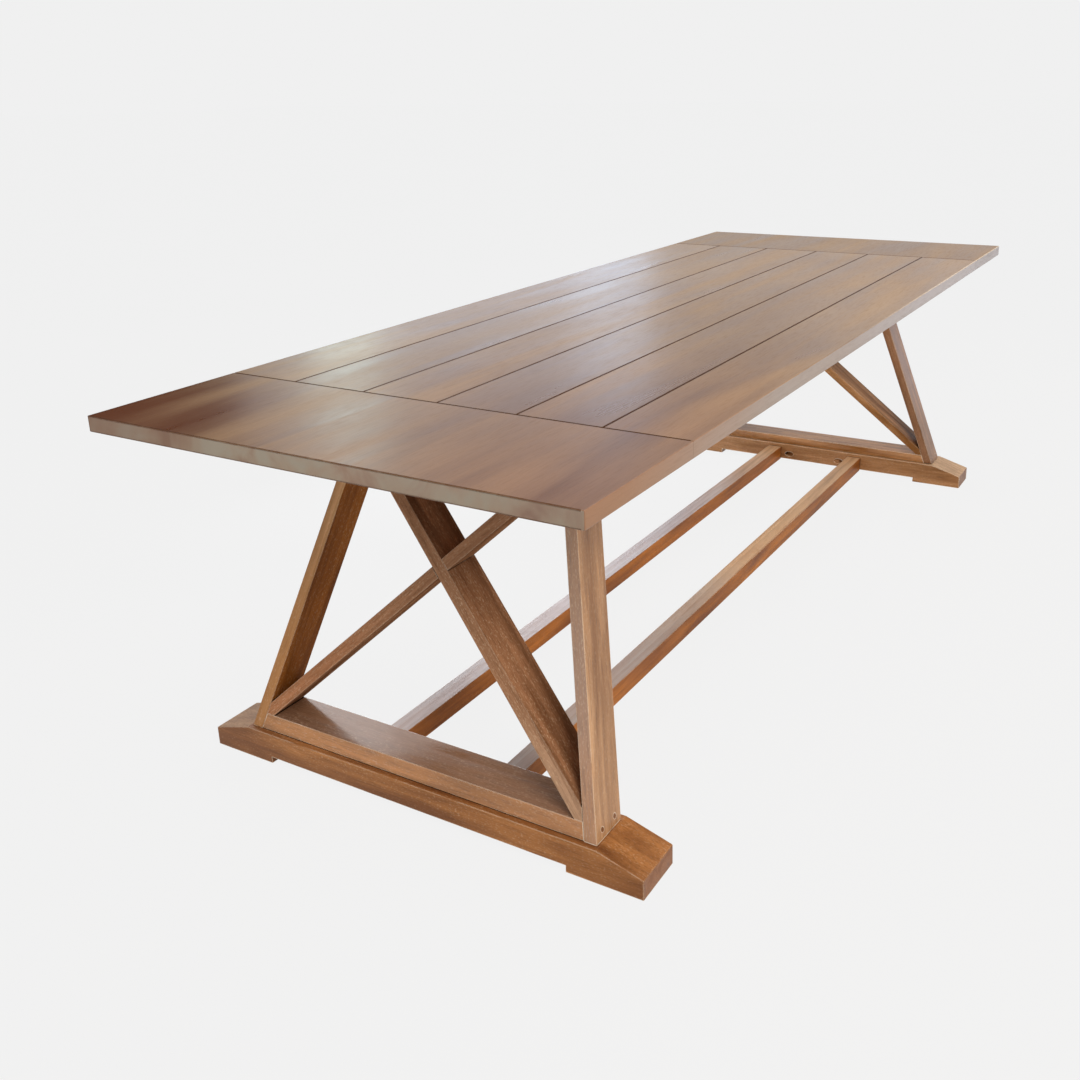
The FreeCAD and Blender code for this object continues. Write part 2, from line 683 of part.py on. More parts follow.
def table():
    """Every node of the table by name."""
    nodes = top_pieces()
    for name, side in TRESTLES.items():
        nodes.update(trestle_pieces(name, side))
    nodes["front_stretcher"] = stretcher(FRONT)
    nodes["back_stretcher"] = stretcher(BACK)
    return nodes


os.makedirs("parts", exist_ok=True)
for node, shape in table().items():
    shape.exportStep(f"parts/{node}.step")
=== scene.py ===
import math
import random

import bmesh
import bpy
from bpy.props import FloatProperty, FloatVectorProperty, PointerProperty
from mathutils import Matrix, Vector


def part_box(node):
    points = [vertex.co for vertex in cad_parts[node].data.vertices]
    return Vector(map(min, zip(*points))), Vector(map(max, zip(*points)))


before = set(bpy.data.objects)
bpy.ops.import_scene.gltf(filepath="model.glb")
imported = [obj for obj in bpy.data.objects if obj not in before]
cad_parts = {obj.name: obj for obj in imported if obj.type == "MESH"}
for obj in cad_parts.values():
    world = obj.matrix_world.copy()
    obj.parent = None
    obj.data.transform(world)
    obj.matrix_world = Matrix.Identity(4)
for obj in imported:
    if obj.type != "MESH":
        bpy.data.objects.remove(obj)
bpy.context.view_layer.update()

bl_info = {
    "name": "Trestle dining table",
    "version": (1, 0, 0),
    "blender": (4, 5, 0),
    "location": "View3D > Sidebar > Table",
    "description": "Finishes a trestle dining table in brown stained hardwood and sets it in a studio",
    "category": "Object",
}

ALONG_TABLE = Vector((1, 0, 0))
ACROSS_TABLE = Vector((0, 1, 0))
UPRIGHT = Vector((0, 0, 1))
WHITE = (1, 1, 1)

# Way that each trestle's boards lean along the table, and that those of each long side slope across it
SIDES = {"left": 1, "right": -1}
ENDS = {"front": 1, "back": -1}

# Thickness of a leg across the table, and depth of a leg or a brace along it, as in the solids
LEG_THICKNESS = 0.026
FRAME_DEPTH = 0.086

# Points in front of this line belong to the top's front edge, and the edge's painted highlight ends over the
# fade
FRONT_EDGE = -0.506
FRONT_EDGE_FADE = 0.002

# The Mix node's sockets go by number, because several share a name: those for colours, then for plain numbers
SHARE, UNDER, OVER, MIXED = 0, 6, 7, 2
PLAIN_UNDER, PLAIN_OVER, PLAIN_MIXED = 2, 3, 0

# Wave Texture draws one ring for each 2 pi of twenty times its scaled coordinate
RING_UNIT = 2 * math.pi / 20

# Grain of a board: widths in metres, and lengths as multiples of the width
STREAK_STRETCH = 11
BLOT_WIDTH = 0.16667
BLOT_STRETCH = 2.7273
PORE_STRETCH = 16
FLECK_STRETCH = 2.5
RUB_WIDTH = 0.016667
RUB_STRETCH = 4.2857
RING_TAPER = 0.07

# How boards differ by chance: where their patterns start, where the pith lies and how dark they are
PATTERN_START = (-9, 9)
PITH_ASIDE = (0.05, 0.16)
PITH_BELOW = (0.04, 0.12)
TONE_RANGE = (0.93, 1.08)

# Levels of the noise over which each mark of the wood fades in
STAIN_FADE = {"From Min": 0.55, "From Max": 0.95}
PORE_FADE = {"From Min": 0.5, "From Max": 0.7}
FLECK_FADE = {"From Min": 0.56, "From Max": 0.72}
FLECK_CLUSTERS = {"From Min": 0.4, "From Max": 0.62}
END_MOTTLE = {"From Min": 0.35, "From Max": 0.62, "To Min": 0.2, "To Max": 0.95}
PAINTED_LIGHT_STREAKS = {"From Min": 0.3, "From Max": 0.6, "To Min": 0.6, "To Max": 1.0}
RUB_FADE = {"From Min": 0.3, "From Max": 0.5}
GLOSS_STREAKS = {"From Min": 0.3, "From Max": 0.7}

# Cosines over which a face counts as turned to the side that takes painted light, as sawn end grain and as
# rounded over upwards for the front edge's painted highlight
SIDE_FADE = {"From Min": 0.8, "From Max": 0.92}
END_GRAIN_FADE = {"From Min": 0.75, "From Max": 0.95}
ROUNDED_FADE = {"From Min": 0.1, "From Max": 0.3}

# Metres over which the near corner's red, the back corner's painted shade and the front edge's painted
# highlight change
WARM_FADE = {"From Min": 0.1, "From Max": 1.1, "To Min": 1.0, "To Max": 0.0}
PATCH_FADE = {"From Min": 0.2, "From Max": 0.62, "To Min": 0.9, "To Max": 0.0}
FAR_FADE = {"From Min": -0.2, "From Max": 0.6}

# Openness of a corner from which stain and painted shade stay out of it, and the most of them that one holds
OPEN_CORNER = 0.97
JOINT_STAIN_AND_SHADE = 0.95

# Openness inside the wood, which falls near an arris, over which the arris marks fade in: wear on the base, a
# dark line on the top and a painted highlight on the top's far front arris
ARRIS_FADE = {"From Min": 0.97, "From Max": 0.87}
CORNER_SAMPLES = 6

# Shares and levels that the wood's marks have in common
BLOT_SHARE = 0.5
SPARSE_FLECKS = 0.35
RING_DEPTH = 0.7
# Darkness of the stain and painted shade in the joints
JOINT_STAIN_AND_SHADE_DEPTH = 0.4
PAINTED_LIGHT_RAGGED = 0.6
PATCH_RAGGED = 0.35
PATCH_ON_END_GRAIN = 0.5
PATCH_MATT = 0.6

# Satin lacquer
LACQUER_IOR = 1.5
SMOOTHER, ROUGHER = -0.05, 0.07
PORE_ROUGHNESS = 0.08
PORE_DEPTH = 0.0005
PORE_RELIEF = 0.04
COAT_SHARE = 0.12
COAT_ROUGHNESS = 0.2

# Photograph's camera: place, direction and lens from the fit of the table's edges
CAMERA_PLACE = Vector((-2.5503, -1.2325, 1.3068))
CAMERA_YAW = math.radians(30.13)
CAMERA_PITCH = math.radians(-18.18)
CAMERA_ROLL = math.radians(-1.16)
CAMERA_LENS = 37.51
CAMERA_SENSOR = 36
CAMERA_SHIFT = (-0.0556, -0.0833)
CAMERA_REACH = 200

# Softboxes: place, point that each is aimed at, width and height, and tint
SOFTBOXES = {
    "key": ((-2.3, -3.0, 2.9), (-0.6, 0, 0.4), (2.2, 1.6), "#FFF1E2"),
    "over": ((1.0, -0.6, 2.7), (1.0, -0.1, 0.76), (1.8, 1.2), "#FFEAD2"),
    "end": ((-5.0, 0.4, 1.3), (-1.1, -0.1, 0.5), (2.0, 2.6), "#E8EFFF"),
    "toe": ((-3.1, 0.7, 0.36), (-1.35, -0.2, 0.7), (1.5, 0.6), "#EAF2FF"),
    "window": ((5.3, 3.17, 1.95), (0, 0.2, 0.76), (0.6, 1.0), "#C8E2FF"),
    "band": ((3.09, 2.91, 1.48), (-0.4, 0.2, 0.76), (1.3, 0.6), "#CFE3FF"),
    "strip": ((2.45, 3.45, 1.95), (-0.9, 0.3, 0.76), (0.4, 1.1), "#E9FFF7"),
    "low": ((2.9, -1.3, 0.33), (0.6, -0.5, 0.7), (1.3, 0.6), "#DFE8FF"),
    "left": ((-3.2, 2.0, 0.7), (-1.15, 0.42, 0.3), (1.0, 0.8), "#FFF3E4"),
    "skirt": ((-0.3, 0.68, 0.58), (-0.9, 0, 0.1), (1.3, 0.3), "#F8F2F0"),
    "back": ((0.7, 1.25, 0.6), (0.4, 0, 0.05), (1.6, 0.4), "#EEF3FF"),
}

# Dark cards: place, azimuth in degrees, width and height
FLAGS = {
    "corner_flag": ((-0.4, 3.2, 1.35), 90, (3.6, 2.1)),
    "near_flag": ((2.4, 1.7, 2.6), 30, (2.4, 1.2)),
}

# Floor: half of its side, its drop below the feet, and its faint mottle
FLOOR_REACH = 60
FLOOR_DROP = 0.0005
FLOOR_MOTTLE = 1.43
FLOOR_MOTTLE_LEVEL = 0.996

# Brightness of the floor and the backdrop where they are seen, and the floor's share of that even glow,
# the rest of it being lit by the lamps so that it shows the shadow
FLOOR_GLOW = 1.008
FLOOR_GLOW_SHARE = 0.97
BACKDROP_GLOW = 0.99


def linear(code):
    """Linear colour of an sRGB hex code."""
    shares = [int(code[i : i + 2], 16) / 255 for i in (1, 3, 5)]
    return [s / 12.92 if s <= 0.04045 else ((s + 0.055) / 1.055) ** 2.4 for s in shares]


def colour(name, description, code):
    """Colour property with an sRGB hex code for its default."""
    return FloatVectorProperty(name=name, description=description, subtype="COLOR", size=3,
                               min=0, max=1, default=linear(code))


def length(name, description, metres):
    """Length property in metres."""
    return FloatProperty(name=name, description=description, default=metres, min=0, unit="LENGTH")


def share(name, description, value):
    """Property for a share from nothing to all."""
    return FloatProperty(name=name, description=description, default=value, min=0, max=1, subtype="FACTOR")


def power(name, description, watts):
    """Power property of a lamp."""
    return FloatProperty(name=name, description=description, default=watts, min=0, unit="POWER")


class WoodFinish(bpy.types.PropertyGroup):
    """Colours and grain sizes of the table's wood."""

    top_dark: colour("Top, dark", "Dark streaks of the top's stain", "#795737")
    top_light: colour("Top, light", "Light streaks of the top's stain", "#A07D51")
    near_dark: colour("Near corner, dark", "Dark streaks of the redder near corner of the top", "#724A34")
    near_light: colour("Near corner, light", "Light streaks of the redder near corner of the top", "#9D7352")
    # Painted reflection on the top's front edge: brown where it mirrors little, a greyer sheen further on
    edge_brown: colour("Front edge, brown", "Near end of the top's front edge", "#956B47")
    edge_sheen: colour("Front edge, grey", "Greyer rest of the top's front edge", "#9D9087")
    top_end: colour("Top, end grain", "Greyish end grain of the top", "#8A806D")
    # Painted shade: dark reddish patch round the back corner of the near end board
    top_shade_patch: colour("Top, dark patch", "Reddish heartwood at the back of the near end", "#64300F")
    base_dark: colour("Base, dark", "Dark streaks of the base's stain", "#784822")
    base_light: colour("Base, light", "Light streaks of the base's stain", "#BA8049")
    tan_dark: colour("Tan, dark", "Dark streaks of the paler boards of the base", "#85592E")
    tan_light: colour("Tan, light", "Light streaks of the paler boards of the base", "#C39264")
    deep_dark: colour("Deep, dark", "Dark streaks of the redder boards of the base", "#834B1C")
    deep_light: colour("Deep, light", "Light streaks of the redder boards of the base", "#CB823C")
    brace_dark: colour("Braces, dark", "Dark streaks of the near braces and the far legs", "#714E36")
    brace_light: colour("Braces, light", "Light streaks of the near braces and the far legs", "#A87C5C")
    leg_dark: colour("Leg, dark", "Dark streaks of the near front leg", "#875D34")
    leg_light: colour("Leg, light", "Light streaks of the near front leg", "#C69A70")
    # Painted light: grey sheen on the near leg's end face, warmer towards its foot
    leg_end_sheen: colour("Leg, grey face", "Greyer outer face of the near leg", "#98775C")
    leg_end_warm_light: colour("Leg, tan foot", "Warmer lower end of that face", "#AD7E56")
    # Painted sheen: greyer top of the near bottom rail
    rail_top_sheen: colour("Rail, grey top", "Greyer top of the near bottom rail", "#8B6C58")
    foot_dark: colour("Foot, dark", "Dark streaks of the near foot", "#764724")
    foot_light: colour("Foot, light", "Light streaks of the near foot", "#B87D48")
    # Painted sheen: greyer back slope of the near foot
    foot_slope_sheen: colour("Foot, grey slope", "Greyer back slope of the near foot", "#B89576")
    # Painted reflection: these pale tops stand for light mirrored by the lacquer, grey to near white at the
    # stretchers' near ends, a pale tan sheen further on and on the far foot
    front_stretcher_sheen: colour("Sheened top", "Near end of the front stretcher's top, rubbed by feet", "#A8A39F")
    bare: colour("Gleaming top", "Near end of the back stretcher's top, rubbed almost white", "#C9CBD2")
    tops_sheen: colour("Lit tops", "Lit tops of the stretchers and the far foot", "#E6C197")
    # Painted light on the back leg's end face, paler towards the top and darker, as painted shade, at its
    # lower end
    back_leg_lit_end: colour("Upper", "Paler upper end of the back leg's outer face", "#C49B6F")
    painted_shade: colour("Lower", "Darker lower end of that face", "#AE7E50")
    # Painted light on the near braces' end faces: the front one paler and the back one warmer at their lower
    # ends, where more light reaches
    brace_lit_end: colour("Brace, pale end", "Pale lower end of the near front brace's outer face", "#B8967A")
    brace_warm_lit_end: colour("Brace, warm end", "Warm lower end of the near back brace's outer face", "#B27C58")
    brace_face_light: colour("Braces, face", "Rest of those faces", "#A37A5C")
    sheen: colour("Sheen", "Tint of the lacquer's own gloss on the base", "#D9A878")
    # The pore colour also darkens the joints as stain and painted shade, and draws the top's dark arris line
    pore: colour("Pores", "Stain that has settled in the pores and joints", "#4A2C17")
    lime: colour("Flecks", "Pale filler left in open pores", "#D2B797")
    # Pale arris colour: wear on the base, and a painted highlight along the far upper arris of the top's
    # front edge
    worn_and_highlight: colour("Worn edges", "Arrises rubbed back to paler wood", "#F1E2CB")
    ring_spacing: length("Ring spacing", "Distance between growth rings", 0.017)
    top_figure: length("Top figure", "Width of a streak of the top", 0.08)
    base_figure: length("Base figure", "Width of a streak of the base", 0.03)
    pore_width: length("Pore width", "Width of a pore line, drawn coarse enough to show", 0.0024)
    wear_width: length("Wear width", "How far wear reaches in from an arris of the base", 0.0014)
    # The edge width sets how far the top's dark arris line reaches in, and the reaches how far the joints'
    # stain and painted shade spread
    edge_width: length("Edge width", "How far dark stain reaches in from an arris of the top", 0.003)
    seam_reach: length("Seam stain", "How far dark stain reaches out of a seam of the top", 0.005)
    corner_reach: length("Corner stain", "How far dark stain reaches out of a corner of the base", 0.003)
    top_roughness: share("Top roughness", "Mean roughness of the lacquer on the top", 0.32)
    base_roughness: share("Base roughness", "Mean roughness of the lacquer on the base", 0.22)


class Studio(bpy.types.PropertyGroup):
    """Light and floor of the studio."""

    floor: colour("Floor", "Colour of the floor and the backdrop", "#F1F1F1")
    key_power: power("Key light", "Softbox high at the near end of the near long side", 110)
    over_power: power("Overhead light", "Softbox over the far half", 22)
    end_power: power("End light", "Softbox at the near end", 13)
    toe_power: power("Toe light", "Low softbox at the near end", 4)
    window_power: power("Window light", "Bluish softbox behind the table", 5.2)
    band_power: power("Band light", "Wide dim softbox between the window light and the strip", 3.8)
    strip_power: power("Strip light", "Upright strip behind the table", 3.4)
    low_power: power("Low light", "Low softbox past the far end", 1.6)
    left_power: power("Left light", "Low softbox at the back of the near end", 8)
    skirt_power: power("Skirt light", "Low softbox behind the near trestle", 2.6)
    back_power: power("Back light", "Low softbox at the back, for the tops of the stretchers", 14)
    ambient: FloatProperty(name="Ambient", description="Level of the light from all round",
                           default=0.38, min=0)


def add(tree, kind, inputs=None, **settings):
    """Node with its settings, and its sockets set to values or linked to other nodes' outputs."""
    node = tree.nodes.new(kind)
    for name, value in settings.items():
        setattr(node, name, value)
    for socket, value in (inputs or {}).items():
        if isinstance(value, bpy.types.NodeSocket):
            tree.links.new(value, node.inputs[socket])
        else:
            node.inputs[socket].default_value = value
    return node


def rgba(values, level=1.0):
    """Colour with full alpha, made darker or lighter by a level."""
    return (*(value * level for value in values), 1.0)


def new_material(name):
    """Empty node material and its output node."""
    material = bpy.data.materials.new(name)
    material.use_nodes = True
    material.node_tree.nodes.clear()
    return material, add(material.node_tree, "ShaderNodeOutputMaterial")


def grain_turn(axis):
    """Turn that lays a board's grain along X."""
    return axis.normalized().rotation_difference(ALONG_TABLE).to_euler()


def board_grain(tree, board, shift, pith, look):
    """Streaks, blots, rings, pores, flecks and rubbing of a board, which run with its grain."""
    finish = bpy.context.scene.wood_finish
    # Real pores and flecks are finer than a pixel, so both are drawn as wide as the pore setting
    noises = {
        "streaks": (shift, look["figure"], STREAK_STRETCH,
                    {"Detail": 3, "Roughness": 0.55, "Distortion": 0.5}),
        "blots": (-shift, BLOT_WIDTH, BLOT_STRETCH, {"Detail": 2}),
        "pores": (shift, finish.pore_width, PORE_STRETCH, {"Detail": 2, "Roughness": 0.6}),
        "flecks": (-shift, finish.pore_width, FLECK_STRETCH, {"Detail": 1}),
        "rub": (shift, RUB_WIDTH, RUB_STRETCH, {"Detail": 3}),
    }
    grain = {}
    for mark, (start, width, stretch, settings) in noises.items():
        scale = (1 / (width * stretch), 1 / width, 1 / width)
        spot = add(tree, "ShaderNodeMapping", {"Vector": board, "Location": start, "Scale": scale}).outputs[0]
        noise = add(tree, "ShaderNodeTexNoise", {"Vector": spot, "Scale": 1} | settings)
        grain[mark] = noise.outputs["Fac"]

    grain["pores"] = add(tree, "ShaderNodeMapRange", {"Value": grain["pores"]} | PORE_FADE).outputs[0]
    specks = add(tree, "ShaderNodeMapRange", {"Value": grain["flecks"]} | FLECK_FADE).outputs[0]
    levels = {"To Min": look["flecks"] * SPARSE_FLECKS, "To Max": look["flecks"]}
    clusters = add(tree, "ShaderNodeMapRange",
                   {"Value": grain["streaks"]} | FLECK_CLUSTERS | levels).outputs[0]
    grain["flecks"] = add(tree, "ShaderNodeMath", {0: specks, 1: clusters}, operation="MULTIPLY").outputs[0]

    ring_place = add(tree, "ShaderNodeMapping",
                     {"Vector": board, "Location": pith, "Scale": (RING_TAPER, 1, 1)}).outputs[0]
    rings = add(tree, "ShaderNodeTexWave",
                {"Vector": ring_place, "Scale": RING_UNIT / finish.ring_spacing, "Distortion": 7,
                 "Detail": 2, "Detail Scale": 0.6, "Detail Roughness": 0.55},
                wave_type="RINGS", rings_direction="X", wave_profile="SAW")
    grain["rings"] = rings.outputs["Fac"]
    return grain


def stain_colour(tree, grain, place, tone, look):
    """Stain in dark and light streaks, redder towards one corner where the look has such a corner."""
    finish = bpy.context.scene.wood_finish
    blend = add(tree, "ShaderNodeMath", {0: grain["blots"], 1: BLOT_SHARE, 2: grain["streaks"]},
                operation="MULTIPLY_ADD").outputs[0]
    light_share = add(tree, "ShaderNodeMapRange", {"Value": blend} | STAIN_FADE).outputs[0]
    stain = add(tree, "ShaderNodeMix", {SHARE: light_share, UNDER: rgba(look["dark"], tone),
                                        OVER: rgba(look["light"], tone)}, data_type="RGBA").outputs[MIXED]
    if "warm" not in look:
        return stain
    away = add(tree, "ShaderNodeVectorMath", {0: place, 1: look["warm"]}, operation="DISTANCE")
    warm_share = add(tree, "ShaderNodeMapRange", {"Value": away.outputs["Value"]} | WARM_FADE).outputs[0]
    warm = add(tree, "ShaderNodeMix", {SHARE: light_share, UNDER: rgba(finish.near_dark, tone),
                                       OVER: rgba(finish.near_light, tone)}, data_type="RGBA").outputs[MIXED]
    both = add(tree, "ShaderNodeMix", {SHARE: warm_share, UNDER: stain, OVER: warm}, data_type="RGBA")
    return both.outputs[MIXED]


def painted_light_colour(tree, wood, grain, place, facing, face):
    """Wood with painted light over it, a tint for the light or sheen on one side, and the share of that tint.
    """
    turned = add(tree, "ShaderNodeVectorMath", {0: facing, 1: face["side"]}, operation="DOT_PRODUCT")
    on_side = add(tree, "ShaderNodeMapRange", {"Value": turned.outputs["Value"]} | SIDE_FADE).outputs[0]
    run = add(tree, "ShaderNodeSeparateXYZ", {0: place}).outputs["X"]
    ragged = PAINTED_LIGHT_RAGGED * (face["end"] - face["start"])
    reach = add(tree, "ShaderNodeMath", {0: grain["blots"], 1: ragged, 2: run},
                operation="MULTIPLY_ADD").outputs[0]
    beyond = add(tree, "ShaderNodeMapRange", {"Value": reach, "From Min": face["start"] + ragged / 2,
                                              "From Max": face["end"] + ragged / 2},
                 interpolation_type="SMOOTHSTEP").outputs[0]
    tint = add(tree, "ShaderNodeMix", {SHARE: beyond, UNDER: rgba(face["near"]), OVER: rgba(face["far"])},
               data_type="RGBA").outputs[MIXED]
    streaky = add(tree, "ShaderNodeMapRange", {"Value": grain["streaks"]} | PAINTED_LIGHT_STREAKS).outputs[0]
    painted_light_share = add(tree, "ShaderNodeMath", {0: on_side, 1: streaky}, operation="MULTIPLY").outputs[0]
    tinted = add(tree, "ShaderNodeMix", {SHARE: painted_light_share, UNDER: wood, OVER: tint}, data_type="RGBA")
    return tinted.outputs[MIXED], painted_light_share


def grain_colour(tree, wood, grain, tone, look):
    """Wood with its rings, pores and flecks drawn over the stain."""
    finish = bpy.context.scene.wood_finish
    ring_share = add(tree, "ShaderNodeMath", {0: grain["rings"], 1: look["rings"]}, operation="MULTIPLY")
    pore_share = add(tree, "ShaderNodeMath", {0: grain["pores"], 1: look["pores"]}, operation="MULTIPLY")
    marks = (
        (ring_share.outputs[0], rgba(look["dark"], RING_DEPTH * tone)),
        (pore_share.outputs[0], rgba(finish.pore)),
        (grain["flecks"], rgba(finish.lime)),
    )
    for mark_share, tint in marks:
        wood = add(tree, "ShaderNodeMix", {SHARE: mark_share, UNDER: wood, OVER: tint},
                   data_type="RGBA").outputs[MIXED]
    return wood


def end_grain_colour(tree, wood, grain, facing, axis, look):
    """Wood with mottled end grain on its sawn ends, and the share of a point that is sawn end."""
    along = add(tree, "ShaderNodeVectorMath", {0: facing, 1: axis.normalized()}, operation="DOT_PRODUCT")
    either_end = add(tree, "ShaderNodeMath", {0: along.outputs["Value"]}, operation="ABSOLUTE").outputs[0]
    sawn_share = add(tree, "ShaderNodeMapRange", {"Value": either_end} | END_GRAIN_FADE).outputs[0]
    mottle = add(tree, "ShaderNodeMapRange", {"Value": grain["streaks"]} | END_MOTTLE).outputs[0]
    end_share = add(tree, "ShaderNodeMath", {0: sawn_share, 1: mottle}, operation="MULTIPLY").outputs[0]
    sawn = add(tree, "ShaderNodeMix", {SHARE: end_share, UNDER: wood, OVER: rgba(look["end"])},
               data_type="RGBA")
    return sawn.outputs[MIXED], sawn_share


def patch_colour(tree, wood, grain, place, sawn_share, look):
    """Wood with painted shade, a ragged dark patch round one corner, and the share of that patch."""
    finish = bpy.context.scene.wood_finish
    away = add(tree, "ShaderNodeVectorMath", {0: place, 1: look["patch"]}, operation="DISTANCE")
    ragged = add(tree, "ShaderNodeMath", {0: grain["streaks"], 1: PATCH_RAGGED, 2: away.outputs["Value"]},
                 operation="MULTIPLY_ADD").outputs[0]
    near = add(tree, "ShaderNodeMapRange", {"Value": ragged} | PATCH_FADE,
               interpolation_type="SMOOTHSTEP").outputs[0]
    held = add(tree, "ShaderNodeMath", {0: sawn_share, 1: PATCH_ON_END_GRAIN - 1, 2: 1.0},
               operation="MULTIPLY_ADD").outputs[0]
    patch_share = add(tree, "ShaderNodeMath", {0: near, 1: held}, operation="MULTIPLY").outputs[0]
    patched = add(tree, "ShaderNodeMix", {SHARE: patch_share, UNDER: wood, OVER: rgba(finish.top_shade_patch)},
                  data_type="RGBA")
    return patched.outputs[MIXED], patch_share


def joint_and_arris_shares(tree, grain, look):
    """Share of the dark stain and painted shade that sit in joints and corners, and of the marks along the
    arrises.
    """
    corner = add(tree, "ShaderNodeAmbientOcclusion", {"Distance": look["reach"]}, samples=CORNER_SAMPLES)
    joint_stain_and_shade_share = add(tree, "ShaderNodeMapRange",
                      {"Value": corner.outputs["AO"], "From Min": look["open"], "From Max": OPEN_CORNER,
                       "To Min": JOINT_STAIN_AND_SHADE, "To Max": 0.0}).outputs[0]
    behind = add(tree, "ShaderNodeAmbientOcclusion", {"Distance": look["width"]}, samples=CORNER_SAMPLES,
                 inside=True, only_local=True)
    arris = add(tree, "ShaderNodeMapRange",
                {"Value": behind.outputs["AO"], "To Max": look["wear"]} | ARRIS_FADE).outputs[0]
    rub = add(tree, "ShaderNodeMapRange",
              {"Value": grain["rub"], "To Min": look["even"]} | RUB_FADE).outputs[0]
    arris_and_highlight_share = add(tree, "ShaderNodeMath", {0: arris, 1: rub}, operation="MULTIPLY").outputs[0]
    return joint_stain_and_shade_share, arris_and_highlight_share


def front_edge_shares(tree, place, facing, joint_stain_and_shade_share, arris_and_highlight_share, look):
    """Joint and arris shares, with only the far upper arris of the front edge kept, as a painted highlight,
    and the edge's share.
    """
    spot = add(tree, "ShaderNodeSeparateXYZ", {0: place}).outputs
    edge_share = add(tree, "ShaderNodeMapRange",
                     {"Value": spot["Y"], "From Min": look["front"],
                      "From Max": look["front"] + FRONT_EDGE_FADE, "To Min": 1.0, "To Max": 0.0}).outputs[0]
    far = add(tree, "ShaderNodeMapRange", {"Value": spot["X"]} | FAR_FADE).outputs[0]
    raised = add(tree, "ShaderNodeSeparateXYZ", {0: facing}).outputs["Z"]
    rounded = add(tree, "ShaderNodeMapRange", {"Value": raised} | ROUNDED_FADE).outputs[0]
    bright = add(tree, "ShaderNodeMath", {0: far, 1: rounded}, operation="MULTIPLY").outputs[0]
    shown = add(tree, "ShaderNodeMix", {SHARE: edge_share, PLAIN_UNDER: 1.0, PLAIN_OVER: bright})
    arris_and_highlight_share = add(tree, "ShaderNodeMath", {0: arris_and_highlight_share, 1: shown.outputs[PLAIN_MIXED]},
                     operation="MULTIPLY").outputs[0]
    inner = add(tree, "ShaderNodeMath", {0: 1.0, 1: edge_share}, operation="SUBTRACT").outputs[0]
    joint_stain_and_shade_share = add(tree, "ShaderNodeMath", {0: joint_stain_and_shade_share, 1: inner}, operation="MULTIPLY").outputs[0]
    return joint_stain_and_shade_share, arris_and_highlight_share, edge_share


